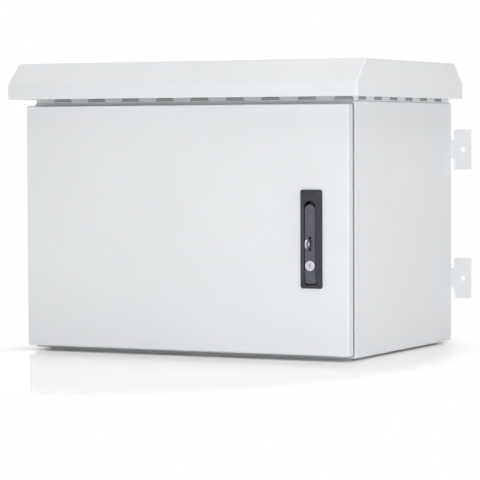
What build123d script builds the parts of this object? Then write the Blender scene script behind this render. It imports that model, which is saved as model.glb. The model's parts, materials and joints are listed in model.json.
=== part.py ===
"""Wall-mounted outdoor equipment cabinet. Lengths in millimetres, front towards -Y, up is +Z."""
import os

from build123d import *

os.makedirs("parts", exist_ok=True)

# Sheet metal
sheet = 1.5
fold_inside = 1.0
fold_outside = fold_inside + sheet
running_gap = 0.05

# Body
body_width = 600.0
body_depth = 418.0
body_height = 418.0
body_corner = 2.5
body_edge = 2.4
frame_flange = 22.0
lip_depth = 14.0
lip_corner = 8.0
back_pan_depth = 12.0
pan_corner = 4.0

# Bottom cover and its seal
gland_thickness = 2.0
gland_gasket_thickness = 1.5
gland_side_inset = 15.0
gland_rear_inset = 36.0
gland_corner = 10.0
gland_gasket_width = 20.0
cable_opening_side_land = 25.0
cable_opening_end_land = 43.5
cable_opening_corner = 20.0
grommet_radius = 16.0
grommet_brim = 3.0
grommet_brim_thickness = 1.5
grommet_dome = 3.0
grommet_pitch = 90.0
grommet_count = 4

# Door
door_gap = 10.0
door_depth = 17.0
door_foot = 5.0
door_height = 408.0
door_corner = 3.0
door_edge = 2.5
door_gasket_width = 12.0
door_gasket_relief = 0.3
stiffener_span = 40.0
stiffener_rise = 12.0
stiffener_foot = 14.0
stiffener_end_gap = 12.0

# Canopy, collar and vents
canopy_side_overhang = 25.0
canopy_front_overhang = 20.0
canopy_rear_inset = 7.0
canopy_lift = 6.5
canopy_skirt = 25.5
canopy_rise = 35.5
canopy_setback = 37.5
canopy_bend = 5.0
canopy_end_edge = 3.0
canopy_hem = 10.0
collar_side_inset = 0.5
collar_front_setback = 4.0
collar_height = 26.0
collar_top_flange = 16.0
collar_foot_flange = 14.0
notch_pitch = 65.5
notch_foot = 36.0
notch_top = 26.0
notch_height = 9.0
notch_front_count = 9
notch_side_count = 6
notch_side_start = 27.0
notch_front_shift = 16.0
vent_side_land = 60.0
vent_opening_depth = 240.0
vent_plate_overlap = 25.0
vent_slot_length = 80.0
vent_slot_width = 10.0
vent_slot_pitch_x = 105.0
vent_slot_pitch_y = 30.0
vent_slot_columns = 4
vent_slot_rows = 7
filter_inset = 10.0
filter_thickness = 10.0
filter_corner = 4.0
beam_span = 40.0
beam_foot = 16.0
beam_end_gap = 2.0
beam_front_y = -110.0
beam_rear_y = 90.0

# Wall ears
ear_thickness = 2.5
ear_reach = 37.5
ear_head_width = 31.5
ear_head_height = 71.0
ear_neck_height = 34.0
ear_leg = 45.0
ear_corner = 3.0
ear_hole_radius = 4.5
ear_lower_rise = 110.0
ear_spacing = 226.0
ear_screw_inset = 14.0
ear_screw_pitch = 20.0

# Rack rails and their depth bars
rack_hole_spacing = 465.1
rack_unit = 44.45
rack_units = 7
rack_hole_step = 15.875
rack_hole_square = 9.5
rail_sheet = 2.0
rail_face_inner = 6.5
rail_face_outer = 19.5
rail_leg = 45.0
rail_setback = 59.0
rail_end = 12.0
bar_span = 26.0
bar_foot = 12.0
bar_front_setback = 40.0
bar_rear_gap = 20.0
bar_spread = 145.0

# Hinges
hinge_side = 6.0
hinge_front = 9.0
hinge_knuckle = 4.0
hinge_pin_radius = 2.5
hinge_pin_end = 1.0
hinge_height = 60.0
hinge_body_knuckle = 29.4
hinge_break = 0.3
hinge_plate = 2.0
hinge_web = 2.5
hinge_frame_arm = 11.0
hinge_frame_tail = 1.0
hinge_door_tail = 3.0
hinge_door_arm = 8.0
hinge_spread = 130.0

# Handle housing, measured out from the door face
handle_side_inset = 65.0
handle_rise = 194.0
handle_width = 38.5
handle_height = 160.0
handle_corner = 4.0
handle_seal_thickness = 0.8
handle_rim = 1.5
handle_face = 7.5
plateau_width = 23.0
plateau_low = 140.0
plateau_high = 262.0
plateau_corner = 3.0
pocket_gap = 1.0
pocket_top_gap = 6.0
pocket_foot_corner = 3.0
pocket_floor = -12.0
housing_back = -15.0
housing_wall = 3.5
housing_end_wall = 3.0
housing_corner = 8.0
door_cut_gap = 0.5
seal_inset = 0.5
clamp_rises = (172.0, 222.0)
clamp_width = 16.0
clamp_sheet = 2.0
clamp_foot = 14.0
clamp_side_gap = 1.5
clamp_screw_bite = 2.2

# Lever, lock and padlock eye
lever_width = 18.5
lever_foot_corner = 5.0
lever_low = 121.0
lever_high = 250.5
lever_back = -2.5
lever_hub_back = -5.0
lever_hub_top = 141.0
lever_slope_low = 3.0
lever_edge = 1.0
lever_hub_round = 3.0
lever_pin_rise = 131.0
lever_pin_out = -1.5
lever_pin_radius = 2.0
lock_rise = 151.0
barrel_radius = 8.25
barrel_proud = 0.5
barrel_back = -6.0
barrel_edge = 0.5
plug_radius = 5.0
keyway_width = 1.3
keyway_height = 6.5
keyway_depth = 3.0
tail_gap = 0.2
tail_thickness = 2.0
tail_width = 6.0
tail_reach = 11.5
tail_slot_gap = 0.6
eye_rise = 186.6
eye_height = 16.0
eye_thickness = 2.8
eye_proud = 16.0
eye_hole_radius = 3.5
eye_slot_width = 4.6
eye_slot_height = 24.0

# Latch
boss_radius = 10.0
boss_length = 7.0
spindle_radius = 6.0
spindle_sink = 1.0
spindle_collar_radius = 8.5
spindle_collar = 2.0
spindle_collar_gap = 0.2
tongue_gap = 1.0
tongue_thickness = 3.0
tongue_width = 22.0
tongue_reach = 60.0
tongue_square = 8.0
tongue_stud_radius = 3.0
tongue_stud_end = 2.0
tongue_washer_radius = 7.0
tongue_washer_thickness = 1.2
tongue_nut_flats = 10.0
tongue_nut_height = 5.0

# Screws, nuts and studs
small_screw = 2.0
screw = 2.5
screw_head = 4.5
screw_head_height = 3.0
large_screw = 3.0
large_head = 5.5
large_head_height = 3.5
head_edge = 0.6
screw_tail = 4.0
nut_flats = 10.0
nut_height = 5.0
stud_radius = 4.0
stud_length = 24.0
stud_washer_radius = 8.0
stud_washer_thickness = 1.6
stud_nut_flats = 13.0
stud_nut_height = 6.5
stud_body_side_inset = 100.0
stud_body_setback = 39.0
stud_door_side_inset = 80.0
stud_door_rise = 60.0

# Places that follow from the sizes above
floor_z = gland_thickness + gland_gasket_thickness
top_z = floor_z + body_height
mid_z = floor_z + body_height / 2
side_x = body_width / 2
front_y = -body_depth / 2
rear_y = body_depth / 2
door_back_y = front_y - door_gap
door_front_y = door_back_y - door_depth
door_z = floor_z + door_foot + door_height / 2
opening_width = body_width - 2 * frame_flange
opening_height = body_height - 2 * frame_flange
stiffener_length = opening_height + sheet - door_gasket_width - 2 * stiffener_end_gap
collar_x = side_x - collar_side_inset
collar_front_y = front_y + collar_front_setback
canopy_front_y = door_front_y - canopy_front_overhang
canopy_rear_y = rear_y - canopy_rear_inset
canopy_x = side_x + canopy_side_overhang
canopy_low_z = top_z + canopy_lift
canopy_fold_z = canopy_low_z + canopy_skirt
canopy_top_z = canopy_fold_z + canopy_rise
collar_rear_y = canopy_rear_y - sheet
collar_y = (collar_front_y + collar_rear_y) / 2
collar_depth = collar_rear_y - collar_front_y
collar_top_z = top_z + collar_height
notch_side_y = collar_front_y + notch_side_start + (notch_side_count - 1) * notch_pitch / 2
vent_opening_width = body_width - 2 * vent_side_land
vent_plate_width = vent_opening_width + 2 * vent_plate_overlap
vent_plate_depth = vent_opening_depth + 2 * vent_plate_overlap
filter_width = vent_plate_width - 2 * filter_inset
filter_depth = vent_plate_depth - 2 * filter_inset
gland_front_y = front_y + gland_side_inset
gland_rear_y = rear_y - gland_rear_inset
gland_y = (gland_front_y + gland_rear_y) / 2
gland_width = body_width - 2 * gland_side_inset
gland_depth = gland_rear_y - gland_front_y
cable_opening_width = gland_width - 2 * (gland_gasket_width + cable_opening_side_land)
cable_opening_depth = gland_depth - 2 * (gland_gasket_width + cable_opening_end_land)
ear_upper_rise = ear_lower_rise + ear_spacing
ear_hole_x = side_x + ear_reach - ear_head_width / 2
hinge_x = -side_x + hinge_side
hinge_y = front_y - hinge_front
handle_x = side_x - handle_side_inset
stud_body_x = side_x - stud_body_side_inset
stud_body_y = front_y + stud_body_setback
stud_door_x = stud_door_side_inset - side_x
rail_x = rack_hole_spacing / 2
rail_front_y = front_y + rail_setback
rail_outer_x = rail_x + rail_face_outer
rail_height = rack_units * rack_unit + 2 * rail_end
pocket_low = lever_low - 1.5 * pocket_gap
pocket_high = lever_high + pocket_top_gap
pocket_width = lever_width + 2 * pocket_gap
housing_width = pocket_width + 2 * housing_wall
housing_low = pocket_low - housing_end_wall
housing_high = pocket_high + housing_end_wall
tail_sweep = (tail_reach**2 + (tail_width / 2) ** 2) ** 0.5
tail_drop = (tail_sweep**2 - (pocket_width / 2) ** 2) ** 0.5


def save(piece, name):
    """Label one finished piece and write it."""
    piece.label = name
    export_step(piece, f"parts/{name}.step")


def front_plane(y):
    """Plane at depth y that faces the front, with X and Z as its own axes."""
    return Plane.XZ.offset(-y)


def out_plane(out):
    """Plane at a distance out from the door face, facing the front."""
    return front_plane(door_front_y - out)


def rounded_block(width, height, centre_z, back_y, depth, corner, edge):
    """Block with rounded long edges and a rounded front rim."""
    with BuildPart() as block:
        with BuildSketch(front_plane(back_y)):
            with Locations((0, centre_z)):
                RectangleRounded(width, height, corner)
        extrude(amount=depth)
        fillet(block.faces().sort_by(Axis.Y)[0].edges(), edge)
    return block.part


def drill(plane, spots, radius, reach):
    """Cut round holes through the piece that is being built."""
    with BuildSketch(plane) as holes:
        with Locations(*spots):
            Circle(radius)
    extrude(holes.sketch, amount=reach, both=True, mode=Mode.SUBTRACT)


def pan_screw(radius, length, head_radius, head_height):
    """Screw along +Z with the seat of its rounded head at zero."""
    with BuildPart() as piece:
        Cylinder(radius, length, align=(Align.CENTER, Align.CENTER, Align.MIN))
        Cylinder(head_radius, head_height, align=(Align.CENTER, Align.CENTER, Align.MAX))
        fillet(piece.edges().sort_by(Axis.Z)[0], head_edge)
    return piece.part


def sunk_screw(radius, length, head_height):
    """Countersunk screw along +Z with its flat head at zero."""
    with BuildPart() as piece:
        Cylinder(radius, length, align=(Align.CENTER, Align.CENTER, Align.MIN))
        with Locations((0, 0, head_height / 2)):
            Cone(radius + head_height, radius, head_height)
    return piece.part


def hex_nut(flats, height, bore):
    """Hexagon nut along +Z from zero."""
    with BuildPart() as piece:
        with BuildSketch():
            RegularPolygon(flats / 2, 6, major_radius=False)
            Circle(bore, mode=Mode.SUBTRACT)
        extrude(amount=height)
    return piece.part


def group(piece, spots, direction):
    """Set copies of one piece at several spots, all pointing the same way."""
    with BuildPart() as pieces:
        for spot in spots:
            add(Plane(origin=spot, z_dir=direction) * piece)
    return pieces.part


def hat_section(plane, span, rise, foot, thickness):
    """Face of a folded hat section that stands on the plane's own x axis."""
    inside = fold_inside
    outside = fold_inside + thickness
    with BuildSketch(plane) as face:
        with BuildLine():
            FilletPolyline(
                (-span / 2 - foot, thickness),
                (-span / 2, thickness),
                (-span / 2, rise),
                (span / 2, rise),
                (span / 2, thickness),
                (span / 2 + foot, thickness),
                radius=[inside, outside, outside, inside],
            )
            offset(amount=thickness, side=Side.RIGHT)
        make_face()
    return face.sketch


# Fixing spots shared by neighbouring pieces
collar_screw_spots = [
    (x, collar_y + y)
    for x in (-collar_x + collar_foot_flange / 2, collar_x - collar_foot_flange / 2)
    for y in (-collar_depth / 3, 0, collar_depth / 3)
]
collar_screw_spots += [
    (x, y)
    for x in (-side_x / 2, side_x / 2)
    for y in (collar_front_y + collar_foot_flange / 2, collar_rear_y - collar_foot_flange / 2)
]
roof_screw_spots = [
    (x, beam_y + y)
    for x in (-collar_x + collar_top_flange / 2, collar_x - collar_top_flange / 2)
    for beam_y in (beam_front_y, beam_rear_y)
    for y in (-beam_span / 2 - beam_foot / 2, beam_span / 2 + beam_foot / 2)
]
gland_screw_x = gland_width / 2 - gland_gasket_width / 2
gland_screw_y = gland_depth / 2 - gland_gasket_width / 2
gland_screw_spots = [
    (x * gland_screw_x, gland_y + y * gland_screw_y)
    for x in (-1, 0, 1)
    for y in (-1, 0, 1)
    if (x, y) not in ((0, 0),)
]
grommet_spots = [
    ((i - (grommet_count - 1) / 2) * grommet_pitch, gland_y)
    for i in range(grommet_count)
]
ear_screw_spots = [
    (side * (side_x - ear_screw_inset - step), floor_z + rise)
    for side in (-1, 1)
    for rise in (ear_lower_rise, ear_upper_rise)
    for step in (0, ear_screw_pitch)
]
rail_screw_spots = [
    (side * rail_outer_x, rail_front_y + rail_leg / 2, mid_z + level * bar_spread)
    for side in (-1, 1)
    for level in (-1, 1)
]
clamp_spots = [(handle_x, floor_z + rise) for rise in clamp_rises]

# Body wrapper: folded sides, top and bottom with the front frame and its lip
outer = rounded_block(
    body_width, body_height, mid_z, rear_y, body_depth, body_corner, body_edge
)
inner = rounded_block(
    body_width - 2 * sheet,
    body_height - 2 * sheet,
    mid_z,
    rear_y,
    body_depth - sheet,
    body_corner - sheet,
    body_edge - sheet,
)
with BuildPart() as body_wrapper:
    add(outer)
    add(inner, mode=Mode.SUBTRACT)
    with BuildSketch(front_plane(front_y + sheet)):
        with Locations((0, mid_z)):
            RectangleRounded(opening_width + 2 * sheet, opening_height + 2 * sheet, lip_corner + sheet)
    extrude(amount=lip_depth + sheet)
    with BuildSketch(front_plane(front_y + sheet)):
        with Locations((0, mid_z)):
            RectangleRounded(opening_width, opening_height, lip_corner)
    extrude(amount=lip_depth + sheet, mode=Mode.SUBTRACT)
    # Openings in the top and in the bottom
    with BuildSketch(Plane.XY.offset(top_z)):
        with Locations((0, collar_y)):
            RectangleRounded(vent_opening_width, vent_opening_depth, cable_opening_corner)
    extrude(amount=-2 * sheet, mode=Mode.SUBTRACT)
    with BuildSketch(Plane.XY.offset(floor_z)):
        with Locations((0, gland_y)):
            RectangleRounded(cable_opening_width, cable_opening_depth, cable_opening_corner)
    extrude(amount=2 * sheet, mode=Mode.SUBTRACT)
    drill(Plane.XY.offset(top_z), collar_screw_spots, screw, 2 * sheet)
    drill(Plane.XY.offset(floor_z), gland_screw_spots, small_screw, 2 * sheet)
    drill(Plane.XY.offset(floor_z), [(stud_body_x, stud_body_y)], stud_radius, 2 * sheet)
save(body_wrapper.part, "body_wrapper")

# Back panel: a pan welded inside the wrapper, built facing front and mirrored
pan_width = body_width - 2 * sheet
pan_height = body_height - 2 * sheet
pan_outer = rounded_block(
    pan_width, pan_height, mid_z, -rear_y + back_pan_depth, back_pan_depth,
    pan_corner, fold_outside,
)
pan_inner = rounded_block(
    pan_width - 2 * sheet, pan_height - 2 * sheet, mid_z, -rear_y + back_pan_depth,
    back_pan_depth - sheet, pan_corner - sheet, fold_inside,
)
with BuildPart() as back_panel:
    add(mirror(pan_outer, about=Plane.XZ))
    add(mirror(pan_inner, about=Plane.XZ), mode=Mode.SUBTRACT)
    drill(front_plane(rear_y), ear_screw_spots, large_screw, 2 * sheet)
save(back_panel.part, "back_panel")

# Vent plate over the top opening
with BuildPart() as vent_plate:
    with BuildSketch(Plane.XY.offset(top_z)):
        with Locations((0, collar_y)):
            RectangleRounded(vent_plate_width, vent_plate_depth, cable_opening_corner)
        with Locations((0, collar_y)):
            with GridLocations(vent_slot_pitch_x, vent_slot_pitch_y, vent_slot_columns, vent_slot_rows):
                SlotOverall(vent_slot_length, vent_slot_width, mode=Mode.SUBTRACT)
    extrude(amount=sheet)
save(vent_plate.part, "vent_plate")

# Filter mat on the vent plate
with BuildPart() as filter_mat:
    with BuildSketch(Plane.XY.offset(top_z + sheet)):
        with Locations((0, collar_y)):
            RectangleRounded(filter_width, filter_depth, filter_corner)
    extrude(amount=filter_thickness)
save(filter_mat.part, "filter_mat")

# Vent collar: folded ring with notches in three of its walls
with BuildPart() as vent_collar:
    with BuildSketch(Plane.XY.offset(top_z)):
        with Locations((0, collar_y)):
            RectangleRounded(2 * collar_x, collar_depth, fold_outside)
    extrude(amount=collar_height)
    with BuildSketch(Plane.XY.offset(top_z + sheet)):
        with Locations((0, collar_y)):
            RectangleRounded(2 * collar_x - 2 * sheet, collar_depth - 2 * sheet, fold_inside)
    extrude(amount=collar_height - 2 * sheet, mode=Mode.SUBTRACT)
    for flange, height in ((collar_foot_flange, top_z), (collar_top_flange, collar_top_z - sheet)):
        with BuildSketch(Plane.XY.offset(height)):
            with Locations((0, collar_y)):
                Rectangle(2 * collar_x - 2 * flange, collar_depth - 2 * flange)
        extrude(amount=sheet, mode=Mode.SUBTRACT)
    with BuildSketch(Plane.XZ) as front_notches:
        with Locations((notch_front_shift, top_z + sheet)):
            with GridLocations(notch_pitch, 0, notch_front_count, 1):
                Polygon(
                    (-notch_foot / 2, 0),
                    (notch_foot / 2, 0),
                    (notch_top / 2, notch_height),
                    (-notch_top / 2, notch_height),
                    align=None,
                )
    extrude(front_notches.sketch, amount=-collar_front_y + sheet, mode=Mode.SUBTRACT)
    with BuildSketch(Plane.YZ) as side_notches:
        with Locations((notch_side_y, top_z + sheet)):
            with GridLocations(notch_pitch, 0, notch_side_count, 1):
                Polygon(
                    (-notch_foot / 2, 0),
                    (notch_foot / 2, 0),
                    (notch_top / 2, notch_height),
                    (-notch_top / 2, notch_height),
                    align=None,
                )
    extrude(side_notches.sketch, amount=side_x, both=True, mode=Mode.SUBTRACT)
    drill(Plane.XY.offset(top_z), collar_screw_spots, screw, 2 * sheet)
    drill(Plane.XY.offset(collar_top_z), roof_screw_spots, large_screw, 2 * sheet)
save(vent_collar.part, "vent_collar")

collar_screw = pan_screw(screw, 2 * sheet + screw_tail, screw_head, screw_head_height)
save(
    group(collar_screw, [(x, y, top_z + sheet) for x, y in collar_screw_spots], (0, 0, -1)),
    "collar_screws",
)

# Roof canopy: folded over front to back, with flat ends and a turned-in hem
canopy_section = [
    (canopy_front_y, canopy_low_z),
    (canopy_front_y, canopy_fold_z),
    (canopy_front_y + canopy_setback, canopy_top_z),
    (canopy_rear_y - canopy_setback, canopy_top_z),
    (canopy_rear_y, canopy_fold_z),
    (canopy_rear_y, canopy_low_z),
]
with BuildSketch(Plane.YZ) as canopy_outline:
    Polygon(*canopy_section, align=None)
    fillet(canopy_outline.vertices().group_by(Axis.Y)[1], canopy_bend)
    fillet(canopy_outline.vertices().group_by(Axis.Y)[-1], canopy_bend)
with BuildSketch(Plane.YZ) as canopy_cavity:
    add(canopy_outline.sketch_local)
    offset(amount=-sheet, mode=Mode.REPLACE)
with BuildPart() as roof_canopy:
    extrude(canopy_outline.sketch, amount=canopy_x, both=True)
    end_rims = [
        edge
        for face in (roof_canopy.faces().sort_by(Axis.X)[0], roof_canopy.faces().sort_by(Axis.X)[-1])
        for edge in face.edges()
        if edge.center().Z > canopy_low_z + sheet
    ]
    fillet(end_rims, canopy_end_edge)
    extrude(canopy_cavity.sketch, amount=canopy_x - sheet, both=True, mode=Mode.SUBTRACT)
    with BuildSketch(Plane.XY.offset(canopy_low_z)):
        with Locations((0, (canopy_front_y + canopy_hem + canopy_rear_y - sheet) / 2)):
            Rectangle(
                2 * canopy_x - 2 * canopy_hem,
                canopy_rear_y - sheet - canopy_front_y - canopy_hem,
            )
    extrude(amount=2 * sheet, mode=Mode.SUBTRACT)
save(roof_canopy.part, "roof_canopy")

# Beams that carry the canopy on the collar
beam_rise = canopy_top_z - sheet - collar_top_z
for beam_name, beam_y in (("roof_beam_front", beam_front_y), ("roof_beam_rear", beam_rear_y)):
    beam_plane = Plane(origin=(0, beam_y, collar_top_z), x_dir=(0, 1, 0), z_dir=(1, 0, 0))
    beam_face = hat_section(beam_plane, beam_span, beam_rise, beam_foot, sheet)
    with BuildPart() as beam:
        extrude(beam_face, amount=collar_x - beam_end_gap, both=True)
        drill(Plane.XY.offset(collar_top_z), roof_screw_spots, large_screw, 2 * sheet)
    save(beam.part, beam_name)

roof_screw = pan_screw(large_screw, 2 * sheet + screw_tail, large_head, large_head_height)
save(
    group(roof_screw, [(x, y, collar_top_z - sheet) for x, y in roof_screw_spots], (0, 0, 1)),
    "roof_screws",
)

# Bottom cover plate with its seal, screws and cable membranes
with BuildPart() as gland_plate:
    with BuildSketch():
        with Locations((0, gland_y)):
            RectangleRounded(gland_width, gland_depth, gland_corner)
        with Locations(*grommet_spots):
            Circle(grommet_radius, mode=Mode.SUBTRACT)
    extrude(amount=gland_thickness)
    for spot_x, spot_y in gland_screw_spots:
        with Locations((spot_x, spot_y, gland_thickness / 2)):
            Cone(small_screw + gland_thickness, small_screw, gland_thickness, mode=Mode.SUBTRACT)
save(gland_plate.part, "gland_plate")

with BuildPart() as gland_gasket:
    with BuildSketch(Plane.XY.offset(gland_thickness)):
        with Locations((0, gland_y)):
            RectangleRounded(gland_width, gland_depth, gland_corner)
            Rectangle(
                gland_width - 2 * gland_gasket_width,
                gland_depth - 2 * gland_gasket_width,
                mode=Mode.SUBTRACT,
            )
        with Locations(*gland_screw_spots):
            Circle(small_screw, mode=Mode.SUBTRACT)
    extrude(amount=gland_gasket_thickness)
save(gland_gasket.part, "gland_gasket")

gland_screw = sunk_screw(small_screw, floor_z + sheet + screw_tail, gland_thickness)
save(group(gland_screw, [(x, y, 0) for x, y in gland_screw_spots], (0, 0, 1)), "gland_screws")

with BuildPart() as grommet:
    Cylinder(grommet_radius, gland_thickness, align=(Align.CENTER, Align.CENTER, Align.MIN))
    with Locations((0, 0, gland_thickness)):
        Cylinder(
            grommet_radius + grommet_brim,
            grommet_brim_thickness,
            align=(Align.CENTER, Align.CENTER, Align.MIN),
        )
    with Locations((0, 0, gland_thickness + grommet_brim_thickness + grommet_dome / 2)):
        Cone(grommet_radius, grommet_radius / 2, grommet_dome)
save(group(grommet.part, [(x, y, 0) for x, y in grommet_spots], (0, 0, 1)), "cable_grommets")


def wall_ear(side, rise):
    """T-shaped ear screwed to the back, reaching out past one side."""
    head_x = side_x + ear_reach - ear_head_width / 2
    leg_length = ear_leg + ear_reach - ear_head_width
    leg_x = side_x - ear_leg + leg_length / 2
    with BuildPart() as ear:
        with BuildSketch(front_plane(rear_y)) as outline:
            with Locations((side * leg_x, floor_z + rise)):
                Rectangle(leg_length, ear_neck_height)
            with Locations((side * head_x, floor_z + rise)):
                Rectangle(ear_head_width, ear_head_height)
            fillet(outline.vertices(), ear_corner)
            with Locations((side * ear_hole_x, floor_z + rise)):
                Circle(ear_hole_radius, mode=Mode.SUBTRACT)
        extrude(amount=-ear_thickness)
        for spot_x, spot_z in ear_screw_spots:
            seat = Plane(origin=(spot_x, rear_y + ear_thickness, spot_z), z_dir=(0, -1, 0))
            add(seat * ear_screw, mode=Mode.SUBTRACT)
    return ear.part


# Wall ears with their countersunk screws and nuts
ear_screw = sunk_screw(
    large_screw, ear_thickness + sheet + nut_height + screw_tail, ear_thickness
)
for level, rise in (("upper", ear_upper_rise), ("lower", ear_lower_rise)):
    for hand, side in (("left", -1), ("right", 1)):
        save(wall_ear(side, rise), f"wall_ear_{level}_{hand}")
save(
    group(ear_screw, [(x, rear_y + ear_thickness, z) for x, z in ear_screw_spots], (0, -1, 0)),
    "ear_screws",
)
ear_nut = hex_nut(nut_flats, nut_height, large_screw)
save(
    group(ear_nut, [(x, rear_y - sheet, z) for x, z in ear_screw_spots], (0, -1, 0)),
    "ear_nuts",
)


def rack_rail(side):
    """Angle rail with a row of square holes in its face."""
    inner_x = rail_x - rail_face_inner
    with BuildPart() as rail:
        with BuildSketch(Plane.XY.offset(mid_z - rail_height / 2)):
            with BuildLine():
                FilletPolyline(
                    (side * inner_x, rail_front_y),
                    (side * rail_outer_x, rail_front_y),
                    (side * rail_outer_x, rail_front_y + rail_leg),
                    radius=fold_inside + rail_sheet,
                )
                offset(amount=rail_sheet, side=Side.LEFT if side > 0 else Side.RIGHT)
            make_face()
        extrude(amount=rail_height)
        first_z = mid_z - rack_units * rack_unit / 2 + rack_unit / 2
        hole_spots = [
            (side * rail_x, first_z + unit * rack_unit + step * rack_hole_step)
            for unit in range(rack_units)
            for step in (-1, 0, 1)
        ]
        with BuildSketch(front_plane(rail_front_y)) as squares:
            with Locations(*hole_spots):
                Rectangle(rack_hole_square, rack_hole_square)
        extrude(squares.sketch, amount=2 * rail_sheet, both=True, mode=Mode.SUBTRACT)
        drill(
            Plane.YZ.offset(side * rail_outer_x),
            [(y, z) for x, y, z in rail_screw_spots if x * side > 0],
            large_screw,
            2 * rail_sheet,
        )
    return rail.part


def depth_bar(side, level):
    """Hat section along the side wall that a rail is screwed to."""
    wall_x = side_x - sheet
    bar_rise = wall_x - rail_outer_x
    bar_plane = Plane(
        origin=(side * wall_x, front_y + bar_front_setback, mid_z + level * bar_spread),
        x_dir=(0, 0, -side),
        z_dir=(0, 1, 0),
    )
    bar_face = hat_section(bar_plane, bar_span, bar_rise, bar_foot, sheet)
    with BuildPart() as bar:
        extrude(bar_face, amount=body_depth - bar_front_setback - bar_rear_gap)
        drill(
            Plane.YZ.offset(side * rail_outer_x),
            [(y, z) for x, y, z in rail_screw_spots],
            large_screw,
            2 * sheet,
        )
    return bar.part


# Rack rails, the bars that carry them and their screws
for hand, side in (("left", -1), ("right", 1)):
    save(rack_rail(side), f"rack_rail_{hand}")
    for level_name, level in (("upper", 1), ("lower", -1)):
        save(depth_bar(side, level), f"depth_bar_{level_name}_{hand}")
rail_screw = pan_screw(large_screw, rail_sheet + sheet + screw_tail, large_head, large_head_height)
with BuildPart() as rail_screws:
    for spot_x, spot_y, spot_z in rail_screw_spots:
        hand = 1 if spot_x > 0 else -1
        seat_x = spot_x - hand * rail_sheet
        add(Plane(origin=(seat_x, spot_y, spot_z), z_dir=(hand, 0, 0)) * rail_screw)
save(rail_screws.part, "rail_screws")

# Earth studs with washer and nut
with BuildPart() as earth_stud:
    Cylinder(stud_radius, stud_length, align=(Align.CENTER, Align.CENTER, Align.MIN))
    with Locations((0, 0, sheet)):
        Cylinder(
            stud_washer_radius,
            stud_washer_thickness,
            align=(Align.CENTER, Align.CENTER, Align.MIN),
        )
    with BuildSketch(Plane.XY.offset(sheet + stud_washer_thickness)):
        RegularPolygon(stud_nut_flats / 2, 6, major_radius=False)
    extrude(amount=stud_nut_height)
save(group(earth_stud.part, [(stud_body_x, stud_body_y, floor_z)], (0, 0, 1)), "earth_stud_body")

with BuildPart() as door_stud:
    Cylinder(stud_radius, stud_length / 2, align=(Align.CENTER, Align.CENTER, Align.MIN))
    Cylinder(
        stud_washer_radius,
        stud_washer_thickness,
        align=(Align.CENTER, Align.CENTER, Align.MIN),
    )
    with BuildSketch(Plane.XY.offset(stud_washer_thickness)):
        RegularPolygon(stud_nut_flats / 2, 6, major_radius=False)
    extrude(amount=stud_nut_height)
door_stud_spot = (stud_door_x, door_front_y + sheet, floor_z + stud_door_rise)
save(group(door_stud.part, [door_stud_spot], (0, 1, 0)), "earth_stud_door")

# Door panel: a folded pan with a cut-out for the handle
door_outer = rounded_block(
    body_width, door_height, door_z, door_back_y, door_depth, door_corner, door_edge
)
door_inner = rounded_block(
    body_width - 2 * sheet,
    door_height - 2 * sheet,
    door_z,
    door_back_y,
    door_depth - sheet,
    door_corner - sheet,
    door_edge - sheet,
)
cut_z = floor_z + (housing_low + housing_high) / 2
cut_width = housing_width + 2 * door_cut_gap
cut_height = housing_high - housing_low + 2 * door_cut_gap
with BuildPart() as door_panel:
    add(door_outer)
    add(door_inner, mode=Mode.SUBTRACT)
    with BuildSketch(front_plane(door_front_y)):
        with Locations((handle_x, cut_z)):
            RectangleRounded(cut_width, cut_height, housing_corner)
    extrude(amount=-2 * sheet, mode=Mode.SUBTRACT)
save(door_panel.part, "door_panel")

# Door gasket facing the lip
with BuildPart() as door_gasket:
    gasket_rear_y = front_y - lip_depth - door_gasket_relief
    with BuildSketch(front_plane(gasket_rear_y)):
        with Locations((0, mid_z)):
            RectangleRounded(
                opening_width + sheet + door_gasket_width,
                opening_height + sheet + door_gasket_width,
                lip_corner + door_gasket_width / 2,
            )
            RectangleRounded(
                opening_width + sheet - door_gasket_width,
                opening_height + sheet - door_gasket_width,
                lip_corner / 2,
                mode=Mode.SUBTRACT,
            )
    extrude(amount=gasket_rear_y - door_front_y - sheet)
save(door_gasket.part, "door_gasket")

# Stiffener welded down the middle of the door
stiffener_plane = Plane(
    origin=(0, door_front_y + sheet, mid_z - stiffener_length / 2),
    x_dir=(1, 0, 0),
    z_dir=(0, 0, 1),
)
stiffener_face = hat_section(
    stiffener_plane, stiffener_span, stiffener_rise, stiffener_foot, sheet
)
with BuildPart() as door_stiffener:
    extrude(stiffener_face, amount=stiffener_length)
save(door_stiffener.part, "door_stiffener")


def frame_leaf(low_z):
    """Hinge leaf on the frame: plate, bent arm and middle knuckle."""
    knuckle_z = low_z + (hinge_height - hinge_body_knuckle) / 2
    arm_x = hinge_x + hinge_frame_arm
    with BuildPart() as leaf:
        with BuildSketch(Plane.XY.offset(low_z)) as foot:
            with Locations((hinge_x - hinge_frame_tail, front_y)):
                Rectangle(
                    hinge_frame_arm + hinge_frame_tail,
                    hinge_plate,
                    align=(Align.MIN, Align.MAX),
                )
        extrude(foot.sketch, amount=hinge_height)
        with BuildSketch(Plane.XY.offset(knuckle_z)) as knuckle:
            with Locations((hinge_x, hinge_y)):
                Rectangle(hinge_frame_arm, hinge_web, align=(Align.MIN, Align.CENTER))
            with Locations((arm_x, front_y)):
                Rectangle(
                    hinge_web,
                    hinge_front + hinge_web / 2,
                    align=(Align.MAX, Align.MAX),
                )
            with Locations((hinge_x, hinge_y)):
                Circle(hinge_knuckle)
                Circle(hinge_pin_radius, mode=Mode.SUBTRACT)
        extrude(knuckle.sketch, amount=hinge_body_knuckle)
    return leaf.part


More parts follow.
